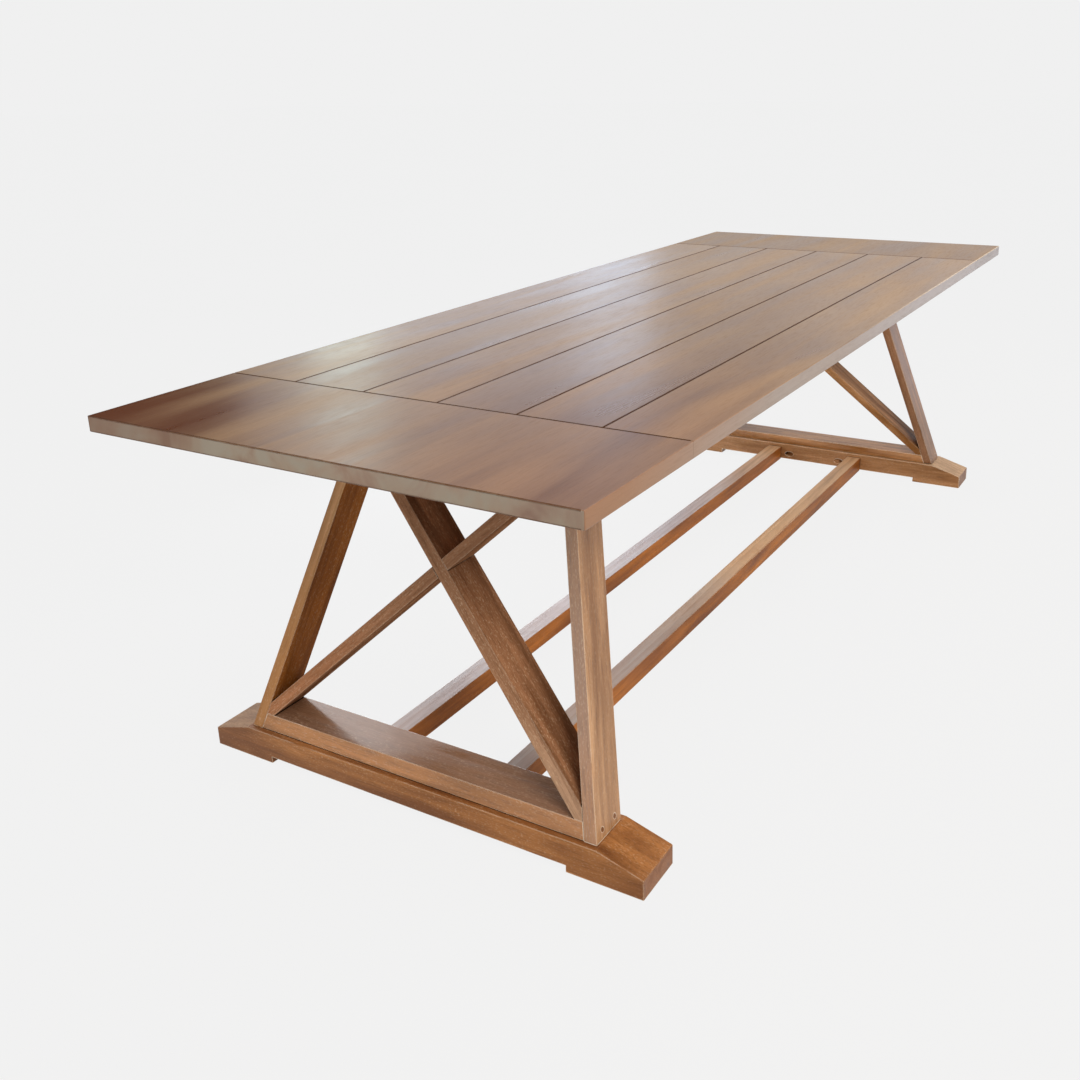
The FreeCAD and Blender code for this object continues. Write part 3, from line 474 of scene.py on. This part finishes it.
# Brown stained hardwood under satin lacquer: streaks, rings and pore lines run with each board's grain, pale
# filler flecks the open pores, dark stain and painted shade sit in the joints, the arrises are rubbed paler,
# and some faces carry painted light, sheen and shade.
def stained_hardwood(name, axis, seed, look):
    """Material of one board, with its grain along the given axis."""
    finish = bpy.context.scene.wood_finish
    draw = random.Random(seed)
    material, output = new_material(f"brown stained hardwood, satin lacquer, {name}")
    tree = material.node_tree
    shift = Vector([draw.uniform(*PATTERN_START) for _ in range(3)])
    pith = Vector((0, draw.uniform(*PITH_ASIDE), draw.choice((-1, 1)) * draw.uniform(*PITH_BELOW)))
    tone = look["tone"] * draw.uniform(*TONE_RANGE)
    middle = sum((Vector(corner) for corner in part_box(name)), Vector()) / 2

    place = add(tree, "ShaderNodeTexCoord").outputs["Object"]
    facing = add(tree, "ShaderNodeNewGeometry").outputs["True Normal"]
    centred = add(tree, "ShaderNodeVectorMath", {0: place, 1: middle}, operation="SUBTRACT").outputs[0]
    board = add(tree, "ShaderNodeMapping", {"Vector": centred, "Rotation": grain_turn(axis)}).outputs[0]
    grain = board_grain(tree, board, shift, pith, look)

    wood = stain_colour(tree, grain, place, tone, look)
    if "face" in look:
        wood, painted_light_share = painted_light_colour(tree, wood, grain, place, facing, look["face"])
    wood = grain_colour(tree, wood, grain, tone, look)
    wood, sawn_share = end_grain_colour(tree, wood, grain, facing, axis, look)
    matt_shares = []
    if "patch" in look:
        wood, patch_share = patch_colour(tree, wood, grain, place, sawn_share, look)
        matt = add(tree, "ShaderNodeMath", {0: patch_share, 1: PATCH_MATT}, operation="MULTIPLY")
        matt_shares.append(matt.outputs[0])

    joint_stain_and_shade_share, arris_and_highlight_share = joint_and_arris_shares(tree, grain, look)
    arris_tint = rgba(look["arris"])
    # On the front edge the arris takes a painted highlight in the pale colour instead of the dark line
    if "front" in look:
        joint_stain_and_shade_share, arris_and_highlight_share, edge_share = front_edge_shares(
            tree, place, facing, joint_stain_and_shade_share, arris_and_highlight_share, look)
        arris_tint = add(tree, "ShaderNodeMix",
                         {SHARE: edge_share, UNDER: arris_tint, OVER: rgba(finish.worn_and_highlight)},
                         data_type="RGBA").outputs[MIXED]
        # Matt share of the dark line along the top's other arrises
        dark_arris = add(tree, "ShaderNodeMath", {0: arris_and_highlight_share, 1: edge_share}, operation="SUBTRACT")
        matt_shares.append(dark_arris.outputs[0])
    for part, tint in ((joint_stain_and_shade_share, rgba(finish.pore, JOINT_STAIN_AND_SHADE_DEPTH)), (arris_and_highlight_share, arris_tint)):
        wood = add(tree, "ShaderNodeMix", {SHARE: part, UNDER: wood, OVER: tint},
                   data_type="RGBA").outputs[MIXED]

    matt_share = joint_stain_and_shade_share
    for other in matt_shares:
        matt_share = add(tree, "ShaderNodeMath", {0: matt_share, 1: other}, operation="MAXIMUM").outputs[0]
    level = add(tree, "ShaderNodeMath", {0: matt_share, 1: -look["gloss"], 2: look["gloss"]},
                operation="MULTIPLY_ADD").outputs[0]
    if "face" in look:
        kept = add(tree, "ShaderNodeMath", {0: painted_light_share, 1: look["kept"]}, operation="MULTIPLY").outputs[0]
        level = add(tree, "ShaderNodeMath", {0: level, 1: kept}, operation="MAXIMUM").outputs[0]
    streaky = add(tree, "ShaderNodeMapRange",
                  {"Value": grain["streaks"], "To Min": look["roughness"] + SMOOTHER,
                   "To Max": look["roughness"] + ROUGHER} | GLOSS_STREAKS).outputs[0]
    roughness = add(tree, "ShaderNodeMath", {0: grain["pores"], 1: PORE_ROUGHNESS, 2: streaky},
                    operation="MULTIPLY_ADD").outputs[0]
    relief = add(tree, "ShaderNodeMath", {0: grain["pores"], 1: -1.0, 2: grain["streaks"]},
                 operation="MULTIPLY_ADD").outputs[0]
    bump = add(tree, "ShaderNodeBump",
               {"Strength": PORE_RELIEF, "Distance": PORE_DEPTH, "Height": relief}).outputs[0]
    lacquer = add(tree, "ShaderNodeBsdfPrincipled",
                  {"Base Color": wood, "Roughness": roughness, "IOR": LACQUER_IOR,
                   "Specular IOR Level": level, "Specular Tint": rgba(look["sheen"]), "Normal": bump,
                   "Coat Weight": look["gloss"] * COAT_SHARE, "Coat Roughness": COAT_ROUGHNESS})
    tree.links.new(lacquer.outputs[0], output.inputs["Surface"])
    return material


# Zinc plated steel: bluish grey, dulled by fine tumbling marks, drawn a millimetre wide so that they show.
def zinc_steel():
    """Material of the screws and washers."""
    mark_width = 0.00111
    material, output = new_material("zinc plated steel, tumbled")
    tree = material.node_tree
    place = add(tree, "ShaderNodeTexCoord").outputs["Object"]
    marks = add(tree, "ShaderNodeTexNoise",
                {"Vector": place, "Scale": 1 / mark_width, "Detail": 2}).outputs["Fac"]
    tint = add(tree, "ShaderNodeMix",
               {SHARE: marks, UNDER: rgba(linear("#7F8388")), OVER: rgba(linear("#A6A9AC"))},
               data_type="RGBA").outputs[MIXED]
    roughness = add(tree, "ShaderNodeMapRange", {"Value": marks, "To Min": 0.3, "To Max": 0.5}).outputs[0]
    zinc = add(tree, "ShaderNodeBsdfPrincipled",
               {"Base Color": tint, "Metallic": 1.0, "Roughness": roughness})
    tree.links.new(zinc.outputs[0], output.inputs["Surface"])
    return material


def dress(node, material):
    """Give one node of the table its material."""
    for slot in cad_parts[node].material_slots:
        slot.material = material


def nodes_named(*words):
    """Names of the nodes that hold any of these words, in order."""
    return sorted(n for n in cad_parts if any(w in n for w in words))


# A look holds what differs from board to board. Its colours are dark and light for the stain, end for the end
# grain, arris for the arrises and sheen for the gloss. Its lengths are figure, the width of a streak, reach,
# how far stain and painted shade come out of a joint, and width, how far the arris marks come in from an
# arris. Open is how open a corner is when stain and painted shade fill it, wear how much an arris shows, and
# even the least share of that. Gloss is the level of the lacquer's gloss, and kept the level that a face
# under painted light keeps. Rings, pores and flecks say how strongly these are drawn. A look can have a face
# tint of painted light too, and those of the top have the place of its redder corner and its front edge, and
# one of them that of the painted shade patch.
def top_look(**changes):
    """Look of the top's boards, with any changes to it."""
    finish = bpy.context.scene.wood_finish
    low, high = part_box("left_breadboard_end")
    look = {
        "dark": finish.top_dark, "light": finish.top_light, "end": finish.top_end, "arris": finish.pore,
        "sheen": WHITE, "figure": finish.top_figure, "reach": finish.seam_reach, "width": finish.edge_width,
        "open": 0.8, "wear": 0.9, "even": 0.75, "gloss": 0.5, "kept": 0.5, "roughness": finish.top_roughness,
        "tone": 1.0, "rings": 0.12, "pores": 0.1, "flecks": 0.05,
        "warm": Vector((low.x, low.y, high.z)), "front": FRONT_EDGE,
    }
    return look | changes


def base_look(**changes):
    """Look of the base's boards, with any changes to it."""
    finish = bpy.context.scene.wood_finish
    look = {
        "dark": finish.base_dark, "light": finish.base_light, "end": finish.base_dark, "arris": finish.worn_and_highlight,
        "sheen": finish.sheen, "figure": finish.base_figure, "reach": finish.corner_reach,
        "width": finish.wear_width, "open": 0.55, "wear": 0.75, "even": 0.0, "gloss": 0.5, "kept": 0.5,
        "roughness": finish.base_roughness, "tone": 1.0, "rings": 0.24, "pores": 0.4, "flecks": 0.34,
    }
    return look | changes


def tan_look(**changes):
    """Look of the base's paler boards, with any changes to it."""
    finish = bpy.context.scene.wood_finish
    return base_look(dark=finish.tan_dark, light=finish.tan_light, sheen=WHITE) | changes


def deep_look(**changes):
    """Look of the base's redder boards, with any changes to it."""
    finish = bpy.context.scene.wood_finish
    return base_look(dark=finish.deep_dark, light=finish.deep_light) | changes


def painted_light_tint(side, near, far, start, end):
    """Painted light on a board's face on one side, changing from near to far between two places along the
    table.
    """
    return {"side": side, "near": near, "far": far, "start": start, "end": end}


def even_painted_light(side, tint):
    """Painted light on a board's face on one side, the same from end to end."""
    return painted_light_tint(side, tint, tint, 0, 1)


def front_edge_sheen():
    """Painted reflection on the top's front edge: brown at the near end, where it mirrors little, and a
    greyer sheen beyond.
    """
    finish = bpy.context.scene.wood_finish
    return painted_light_tint(-ACROSS_TABLE, finish.edge_brown, finish.edge_sheen, -1.35, -0.55)


def dress_boards(names, seed, axis_of, look):
    """Finish like boards, each with its grain along its own axis."""
    for i, name in enumerate(names):
        dress(name, stained_hardwood(name, axis_of(name), seed + i, look))


def along_table(node):
    """Grain along the table."""
    return ALONG_TABLE


def across_table(node):
    """Grain across the table."""
    return ACROSS_TABLE


def upright(node):
    """Grain straight up."""
    return UPRIGHT


def leaning_axis(node, thickness):
    """Long axis of a frame board that leans along the table and slopes across it."""
    low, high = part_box(node)
    side, end = node.split("_")[:2]
    reach = high - low
    return Vector((SIDES[side] * (reach.x - FRAME_DEPTH), ENDS[end] * (reach.y - thickness), reach.z))


def leg_axis(node):
    """Long axis of a leg."""
    return leaning_axis(node, LEG_THICKNESS)


def brace_axis(node):
    """Long axis of a brace, which runs across the whole of its box."""
    return leaning_axis(node, 0)


class TABLE_OT_planks(bpy.types.Operator):
    """Finish the planks of the top"""

    bl_idname = "table.planks"
    bl_label = "Planks"

    def execute(self, context):
        # The front boards carry a painted reflection on their front edge
        dress_boards(["top_plank_1"], 10, along_table, top_look(face=front_edge_sheen()))
        dress_boards(nodes_named("top_plank")[1:], 11, along_table, top_look())
        return {"FINISHED"}


class TABLE_OT_end_boards(bpy.types.Operator):
    """Finish the end boards of the top"""

    bl_idname = "table.end_boards"
    bl_label = "End boards"

    def execute(self, context):
        low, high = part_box("left_breadboard_end")
        back_corner = Vector((low.x, high.y, high.z))
        # The near end board carries painted shade, a dark reddish patch round its back corner
        near = top_look(patch=back_corner, face=front_edge_sheen())
        far = top_look(gloss=0.3, tone=0.92, face=front_edge_sheen())
        dress_boards(["left_breadboard_end"], 30, along_table, near)
        dress_boards(["right_breadboard_end"], 31, along_table, far)
        return {"FINISHED"}


class TABLE_OT_feet(bpy.types.Operator):
    """Finish the feet"""

    bl_idname = "table.feet"
    bl_label = "Feet"

    def execute(self, context):
        finish = context.scene.wood_finish
        # Painted sheen: the near foot's back slope is tinted greyer and the far foot's upward faces paler,
        # for the light they mirror
        back_slope = even_painted_light(Vector((0, 0.6, 0.8)), finish.foot_slope_sheen)
        near = base_look(dark=finish.foot_dark, light=finish.foot_light, roughness=0.4, wear=0.5, gloss=0.45,
                         reach=0.0015, face=back_slope)
        far = tan_look(roughness=0.4, wear=1.0, gloss=0.3, face=even_painted_light(UPRIGHT, finish.tops_sheen))
        dress_boards(["left_foot"], 40, across_table, near)
        dress_boards(["right_foot"], 41, across_table, far)
        return {"FINISHED"}


class TABLE_OT_legs(bpy.types.Operator):
    """Finish the legs"""

    bl_idname = "table.legs"
    bl_label = "Legs"

    def execute(self, context):
        finish = context.scene.wood_finish
        # Painted light on the legs' end faces: the near front leg's grey sheen, warmer at its foot, and the
        # back leg's, paler towards the top
        grey = painted_light_tint(-ALONG_TABLE, finish.leg_end_warm_light, finish.leg_end_sheen, -1.16, -1.06)
        back_leg_lit_end = painted_light_tint(-ALONG_TABLE, finish.painted_shade, finish.back_leg_lit_end, -1.14, -0.96)
        front = tan_look(dark=finish.leg_dark, light=finish.leg_light, tone=1.1, face=grey)
        # Painted shade: the back leg is darkened to tone 0.76, as the top shades it, and its end face carries
        # painted light
        back = deep_look(pores=0.2, roughness=0.45, wear=0.3, gloss=0.04, tone=0.76, face=back_leg_lit_end)
        far = base_look(dark=finish.brace_dark, light=finish.brace_light, roughness=0.35)
        dress_boards(["left_front_leg"], 50, leg_axis, front)
        dress_boards(["left_back_leg"], 51, leg_axis, back)
        dress_boards(["right_front_leg", "right_back_leg"], 52, leg_axis, far)
        return {"FINISHED"}


class TABLE_OT_braces(bpy.types.Operator):
    """Finish the crossing braces"""

    bl_idname = "table.braces"
    bl_label = "Braces"

    def execute(self, context):
        finish = context.scene.wood_finish
        # Painted light on the near braces' end faces, stronger towards their lower ends
        pale = painted_light_tint(-ALONG_TABLE, finish.brace_lit_end, finish.brace_face_light, -1.16, -1.09)
        warm = painted_light_tint(-ALONG_TABLE, finish.brace_warm_lit_end, finish.brace_face_light, -1.14, -1.02)
        limed = base_look(dark=finish.brace_dark, light=finish.brace_light, flecks=0.5, wear=0.3, gloss=0.0,
                          kept=0.0)
        far = tan_look(gloss=0.05, wear=0.5)
        dress_boards(["left_front_brace"], 60, brace_axis, limed | {"face": pale})
        dress_boards(["left_back_brace"], 61, brace_axis, limed | {"face": warm})
        dress_boards(["right_front_brace", "right_back_brace"], 62, brace_axis, far)
        return {"FINISHED"}


class TABLE_OT_rails(bpy.types.Operator):
    """Finish the rails, the bearers and the batten"""

    bl_idname = "table.rails"
    bl_label = "Rails and bearers"

    def execute(self, context):
        finish = context.scene.wood_finish
        hidden = [f"{side}_{part}" for side in SIDES for part in ("top_rail", "bearer")]
        # Painted sheen on the near bottom rail's top
        near = base_look(dark=finish.tan_dark, roughness=0.12, tone=1.06, sheen=WHITE,
                         face=even_painted_light(UPRIGHT, finish.rail_top_sheen))
        # Painted light: the far bottom rail is made paler, at tone 1.3, for the extra light it gets
        far = tan_look(tone=1.3, roughness=0.3, gloss=0.3, reach=0.0005, wear=1.0)
        dress_boards(hidden + ["centre_batten"], 70, across_table, base_look())
        dress_boards(["left_bottom_rail"], 75, across_table, near)
        dress_boards(["right_bottom_rail"], 76, across_table, far)
        return {"FINISHED"}


class TABLE_OT_stretchers(bpy.types.Operator):
    """Finish the stretchers"""

    bl_idname = "table.stretchers"
    bl_label = "Stretchers"

    def execute(self, context):
        finish = context.scene.wood_finish
        look = deep_look(roughness=0.4, wear=0.5, gloss=0.12, pores=0.15, flecks=0.12)
        # Painted reflection on the stretchers' tops: grey and almost white at their near ends, fading to a
        # tan sheen
        front_stretcher_sheen = painted_light_tint(UPRIGHT, finish.front_stretcher_sheen, finish.tops_sheen, -0.55, 0.25)
        bare = painted_light_tint(UPRIGHT, finish.bare, finish.tops_sheen, 0.25, 1.05)
        dress_boards(["front_stretcher"], 80, along_table, look | {"face": front_stretcher_sheen})
        dress_boards(["back_stretcher"], 81, along_table, look | {"face": bare})
        return {"FINISHED"}


class TABLE_OT_joinery(bpy.types.Operator):
    """Finish the plugs, dowels, pegs and splines"""

    bl_idname = "table.joinery"
    bl_label = "Joinery"

    def execute(self, context):
        dress_boards(nodes_named("_plugs"), 90, across_table, base_look(tone=0.65, wear=0))
        dress_boards(nodes_named("_dowels"), 92, across_table, base_look(wear=0))
        dress_boards(nodes_named("_pegs"), 95, upright, base_look(wear=0))
        dress_boards(nodes_named("_spline"), 100, along_table, base_look(wear=0))
        return {"FINISHED"}


class TABLE_OT_screws(bpy.types.Operator):
    """Finish the screws and washers"""

    bl_idname = "table.screws"
    bl_label = "Screws"

    def execute(self, context):
        steel = zinc_steel()
        for name in nodes_named("_screws", "_washers"):
            dress(name, steel)
        return {"FINISHED"}


def set_camera():
    """Camera at the photograph's viewing angle."""
    data = bpy.data.cameras.new("photo_camera")
    data.sensor_width = CAMERA_SENSOR
    data.lens = CAMERA_LENS
    data.shift_x, data.shift_y = CAMERA_SHIFT
    data.clip_end = CAMERA_REACH
    camera = bpy.data.objects.new("photo_camera", data)
    bpy.context.scene.collection.objects.link(camera)
    level = math.cos(CAMERA_PITCH)
    ahead = Vector((math.cos(CAMERA_YAW) * level, math.sin(CAMERA_YAW) * level, math.sin(CAMERA_PITCH)))
    right = Vector((math.sin(CAMERA_YAW), -math.cos(CAMERA_YAW), 0))
    up = right.cross(ahead)
    turned_right = math.cos(CAMERA_ROLL) * right + math.sin(CAMERA_ROLL) * up
    turned_up = -math.sin(CAMERA_ROLL) * right + math.cos(CAMERA_ROLL) * up
    axes = Matrix((turned_right, turned_up, -ahead)).transposed()
    camera.matrix_world = Matrix.Translation(CAMERA_PLACE) @ axes.to_4x4()
    bpy.context.scene.camera = camera


def add_softbox(name, place, aim, size, watts, tint):
    """Rectangular softbox at a place, aimed at a point and hidden from the camera."""
    data = bpy.data.lights.new(name, "AREA")
    data.shape = "RECTANGLE"
    data.size, data.size_y = size
    data.energy = watts
    data.color = linear(tint)
    light = bpy.data.objects.new(name, data)
    light.location = place
    light.rotation_euler = (Vector(aim) - Vector(place)).to_track_quat("-Z", "Y").to_euler()
    light.visible_camera = False
    bpy.context.scene.collection.objects.link(light)


def seen_plain(tree):
    """Whether a ray comes from the camera, a mirror or glass, and so sees the plain backdrop."""
    path = add(tree, "ShaderNodeLightPath").outputs
    seen = path["Is Camera Ray"]
    for ray in ("Is Glossy Ray", "Is Transmission Ray"):
        seen = add(tree, "ShaderNodeMath", {0: seen, 1: path[ray]}, operation="MAXIMUM").outputs[0]
    return seen


# Pale matt floor: camera and mirror rays see the backdrop's plain colour, dimmed by the shadow.
def studio_floor(settings):
    """Material of the floor."""
    material, output = new_material("pale matt studio floor")
    tree = material.node_tree
    place = add(tree, "ShaderNodeTexCoord").outputs["Object"]
    mottle = add(tree, "ShaderNodeTexNoise",
                 {"Vector": place, "Scale": 1 / FLOOR_MOTTLE, "Detail": 2}).outputs["Fac"]
    tint = add(tree, "ShaderNodeMix", {SHARE: mottle, UNDER: rgba(settings.floor),
                                       OVER: rgba(settings.floor, FLOOR_MOTTLE_LEVEL)},
               data_type="RGBA").outputs[MIXED]
    matt = add(tree, "ShaderNodeBsdfDiffuse", {"Color": tint}).outputs[0]
    glow = add(tree, "ShaderNodeEmission", {"Color": tint, "Strength": FLOOR_GLOW}).outputs[0]
    level = add(tree, "ShaderNodeMath", {0: seen_plain(tree), 1: FLOOR_GLOW_SHARE}, operation="MULTIPLY")
    surface = add(tree, "ShaderNodeMixShader", {0: level.outputs[0], 1: matt, 2: glow})
    tree.links.new(surface.outputs[0], output.inputs["Surface"])
    return material


# Matt black cloth: soaks up the light, so that the lacquer mirrors a dark patch where a card stands.
def black_cloth():
    """Material of the dark cards."""
    material, output = new_material("matt black cloth")
    cloth = add(material.node_tree, "ShaderNodeBsdfDiffuse", {"Color": rgba(linear("#1C1714"))})
    material.node_tree.links.new(cloth.outputs[0], output.inputs["Surface"])
    return material


def set_world(settings):
    """Even light from all round, seen as the plain backdrop."""
    world = bpy.data.worlds.new("studio")
    bpy.context.scene.world = world
    world.use_nodes = True
    tree = world.node_tree
    tree.nodes.clear()
    light = add(tree, "ShaderNodeBackground", {"Color": rgba(WHITE), "Strength": settings.ambient})
    backdrop = add(tree, "ShaderNodeBackground", {"Color": rgba(settings.floor), "Strength": BACKDROP_GLOW})
    mixed = add(tree, "ShaderNodeMixShader",
                {0: seen_plain(tree), 1: light.outputs[0], 2: backdrop.outputs[0]})
    add(tree, "ShaderNodeOutputWorld", {"Surface": mixed.outputs[0]})


def studio_piece(name, shape, material):
    """Object of the studio, made from a bmesh, with its material."""
    mesh = bpy.data.meshes.new(name)
    shape.to_mesh(mesh)
    shape.free()
    mesh.materials.append(material)
    piece = bpy.data.objects.new(name, mesh)
    bpy.context.scene.collection.objects.link(piece)
    return piece


def add_floor(settings):
    """Floor under the table, far larger than the view."""
    shape = bmesh.new()
    bmesh.ops.create_grid(shape, x_segments=1, y_segments=1, size=FLOOR_REACH)
    bmesh.ops.translate(shape, verts=shape.verts, vec=(0, 0, -FLOOR_DROP))
    floor = studio_piece("studio_floor", shape, studio_floor(settings))


def add_flag(name, place, azimuth, size, material):
    """Upright dark card facing an azimuth, seen only by mirror rays, that keeps part of the top dark."""
    # The grid's size is half of its side, so the card starts one metre wide
    shape = bmesh.new()
    bmesh.ops.create_grid(shape, x_segments=1, y_segments=1, size=0.5)
    bmesh.ops.scale(shape, verts=shape.verts, vec=(*size, 1))
    for degrees, axis in ((90, "X"), (azimuth - 90, "Z")):
        bmesh.ops.rotate(shape, verts=shape.verts, matrix=Matrix.Rotation(math.radians(degrees), 3, axis))
    bmesh.ops.translate(shape, verts=shape.verts, vec=place)
    flag = studio_piece(name, shape, material)
    flag.visible_camera = flag.visible_diffuse = flag.visible_shadow = False


class TABLE_OT_stage(bpy.types.Operator):
    """Set the floor, the light and the camera"""

    bl_idname = "table.stage"
    bl_label = "Studio"

    def execute(self, context):
        settings = context.scene.studio
        add_floor(settings)
        set_world(settings)
        for name, (place, aim, size, tint) in SOFTBOXES.items():
            add_softbox(f"{name}_softbox", place, aim, size, getattr(settings, f"{name}_power"), tint)
        cloth = black_cloth()
        for name, (place, azimuth, size) in FLAGS.items():
            add_flag(name, place, azimuth, size, cloth)
        set_camera()
        context.scene.view_settings.view_transform = "Standard"
        return {"FINISHED"}


class TABLE_PT_panel(bpy.types.Panel):
    """Steps that finish the table"""

    bl_idname = "TABLE_PT_panel"
    bl_label = "Trestle table"
    bl_space_type = "VIEW_3D"
    bl_region_type = "UI"
    bl_category = "Table"

    def draw(self, context):
        for group in (context.scene.wood_finish, context.scene.studio):
            for name in group.__annotations__:
                self.layout.prop(group, name)
        for step in STEPS:
            self.layout.operator(step.bl_idname)


STEPS = (
    TABLE_OT_planks,
    TABLE_OT_end_boards,
    TABLE_OT_feet,
    TABLE_OT_legs,
    TABLE_OT_braces,
    TABLE_OT_rails,
    TABLE_OT_stretchers,
    TABLE_OT_joinery,
    TABLE_OT_screws,
    TABLE_OT_stage,
)
CLASSES = (WoodFinish, Studio, *STEPS, TABLE_PT_panel)


def register():
    """Register the classes and their settings."""
    for item in CLASSES:
        bpy.utils.register_class(item)
    bpy.types.Scene.wood_finish = PointerProperty(type=WoodFinish)
    bpy.types.Scene.studio = PointerProperty(type=Studio)


def unregister():
    """Undo register."""
    del bpy.types.Scene.studio
    del bpy.types.Scene.wood_finish
    for item in reversed(CLASSES):
        bpy.utils.unregister_class(item)


def main():
    """Register the classes and run every step."""
    register()
    for step in STEPS:
        group, name = step.bl_idname.split(".")
        getattr(getattr(bpy.ops, group), name)()


if __name__ == "__main__":
    main()
